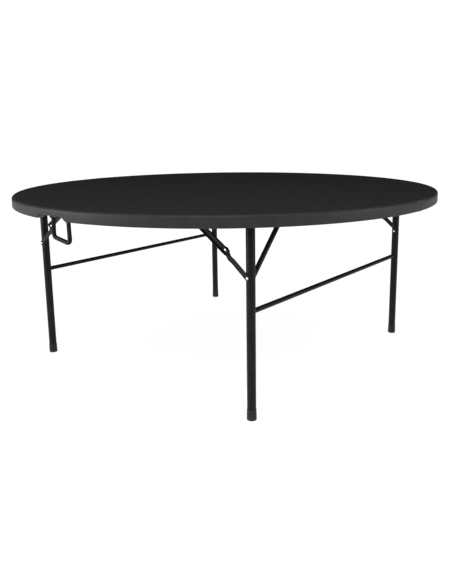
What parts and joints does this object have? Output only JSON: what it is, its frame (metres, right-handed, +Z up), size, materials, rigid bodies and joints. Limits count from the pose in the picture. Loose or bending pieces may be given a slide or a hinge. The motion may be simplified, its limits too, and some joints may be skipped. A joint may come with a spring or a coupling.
{
  "type": "folding table",
  "caption": "Large round folding table: a moulded top in two half-moons, with tube leg frames that fold flat under it and a carrying handle at the rim.",
  "frame": {"origin": "on the floor under the middle of the round top", "axes": "+Z up; X along the joint between the two half-moon tops; Y along the pivot tubes of the leg frames; the carrying handle is at -Y"},
  "size_m": [1.83, 1.8301, 0.74],
  "materials": {
    "moulded_top": "black blow-moulded polyethylene with a fine pebble grain",
    "black_paint": "black semi-gloss powder coat on steel",
    "cap_plastic": "black moulded cap plastic",
    "handle_plastic": "black moulded plastic",
    "zinc": "bright zinc plate"
  },
  "bodies": {
    "root": {"top_half_front": "moulded_top", "top_half_back": "moulded_top", "seam_plates": "black_paint", "seam_screws": "zinc", "handle_bracket": "black_paint", "handle_pins": "zinc", "handle_screws": "zinc", "brace_bracket_a_front": "black_paint", "brace_bracket_a_back": "black_paint", "saddle_a_front": "black_paint", "saddle_a_back": "black_paint", "saddle_screws_a": "zinc", "bracket_screws_a": "zinc", "bracket_pins_a": "zinc", "brace_bracket_b_front": "black_paint", "brace_bracket_b_back": "black_paint", "saddle_b_front": "black_paint", "saddle_b_back": "black_paint", "saddle_screws_b": "zinc", "bracket_screws_b": "zinc", "bracket_pins_b": "zinc"},
    "leg_frame_a": {"leg_a_front": "black_paint", "leg_a_back": "black_paint", "crossbar_a": "black_paint", "pivot_tube_a": "black_paint", "stay_rod_a": "black_paint", "foot_cap_a_front": "cap_plastic", "foot_cap_a_back": "cap_plastic", "leg_plugs_a": "cap_plastic", "leg_rivets_a": "zinc"},
    "link_a_front": {"brace_link_a_front": "black_paint", "elbow_stud_a_front": "zinc"},
    "channel_a_front": {"brace_channel_a_front": "black_paint", "elbow_rivet_a_front": "zinc"},
    "link_a_back": {"brace_link_a_back": "black_paint", "elbow_stud_a_back": "zinc"},
    "channel_a_back": {"brace_channel_a_back": "black_paint", "elbow_rivet_a_back": "zinc"},
    "leg_frame_b": {"leg_b_front": "black_paint", "leg_b_back": "black_paint", "crossbar_b": "black_paint", "pivot_tube_b": "black_paint", "stay_rod_b": "black_paint", "foot_cap_b_front": "cap_plastic", "foot_cap_b_back": "cap_plastic", "leg_plugs_b": "cap_plastic", "leg_rivets_b": "zinc"},
    "link_b_front": {"brace_link_b_front": "black_paint", "elbow_stud_b_front": "zinc"},
    "channel_b_front": {"brace_channel_b_front": "black_paint", "elbow_rivet_b_front": "zinc"},
    "link_b_back": {"brace_link_b_back": "black_paint", "elbow_stud_b_back": "zinc"},
    "channel_b_back": {"brace_channel_b_back": "black_paint", "elbow_rivet_b_back": "zinc"},
    "handle": {"handle": "handle_plastic"}
  },
  "joints": [
    {"name": "leg_frame_a_fold", "type": "hinge", "parent": "root", "child": "leg_frame_a", "pos_m": [-0.561, 0, 0.694], "axis": [0, -1, 0], "range_deg": [0, 90]},
    {"name": "link_a_front_turn", "type": "hinge", "parent": "leg_frame_a", "child": "link_a_front", "pos_m": [-0.561, -0.605, 0.51], "axis": [0, -1, 0], "range_deg": [0, 46.17]},
    {"name": "channel_a_front_turn", "type": "hinge", "parent": "root", "child": "channel_a_front", "pos_m": [-0.331, -0.6102, 0.694], "axis": [0, -1, 0], "range_deg": [-35.02, 0]},
    {"name": "link_a_back_turn", "type": "hinge", "parent": "leg_frame_a", "child": "link_a_back", "pos_m": [-0.561, 0.565, 0.51], "axis": [0, -1, 0], "range_deg": [0, 46.17]},
    {"name": "channel_a_back_turn", "type": "hinge", "parent": "root", "child": "channel_a_back", "pos_m": [-0.331, 0.5702, 0.694], "axis": [0, -1, 0], "range_deg": [-35.02, 0]},
    {"name": "leg_frame_b_fold", "type": "hinge", "parent": "root", "child": "leg_frame_b", "pos_m": [0.561, 0, 0.694], "axis": [0, 1, 0], "range_deg": [0, 90]},
    {"name": "link_b_front_turn", "type": "hinge", "parent": "leg_frame_b", "child": "link_b_front", "pos_m": [0.561, -0.565, 0.51], "axis": [0, 1, 0], "range_deg": [0, 46.17]},
    {"name": "channel_b_front_turn", "type": "hinge", "parent": "root", "child": "channel_b_front", "pos_m": [0.331, -0.5702, 0.694], "axis": [0, 1, 0], "range_deg": [-35.02, 0]},
    {"name": "link_b_back_turn", "type": "hinge", "parent": "leg_frame_b", "child": "link_b_back", "pos_m": [0.561, 0.605, 0.51], "axis": [0, 1, 0], "range_deg": [0, 46.17]},
    {"name": "channel_b_back_turn", "type": "hinge", "parent": "root", "child": "channel_b_back", "pos_m": [0.331, 0.6102, 0.694], "axis": [0, 1, 0], "range_deg": [-35.02, 0]},
    {"name": "handle_swing", "type": "hinge", "parent": "root", "child": "handle", "pos_m": [-0.018, -0.87, 0.704], "axis": [1, 0, 0], "range_deg": [-88, 88]}
  ],
  "couplings": [
    {"joint": "link_a_front_turn", "follows": "leg_frame_a_fold", "ratio": 0.50745},
    {"joint": "channel_a_front_turn", "follows": "leg_frame_a_fold", "ratio": -0.38355},
    {"joint": "link_a_back_turn", "follows": "leg_frame_a_fold", "ratio": 0.50745},
    {"joint": "channel_a_back_turn", "follows": "leg_frame_a_fold", "ratio": -0.38355},
    {"joint": "link_b_front_turn", "follows": "leg_frame_b_fold", "ratio": 0.50745},
    {"joint": "channel_b_front_turn", "follows": "leg_frame_b_fold", "ratio": -0.38355},
    {"joint": "link_b_back_turn", "follows": "leg_frame_b_fold", "ratio": 0.50745},
    {"joint": "channel_b_back_turn", "follows": "leg_frame_b_fold", "ratio": -0.38355}
  ]
}
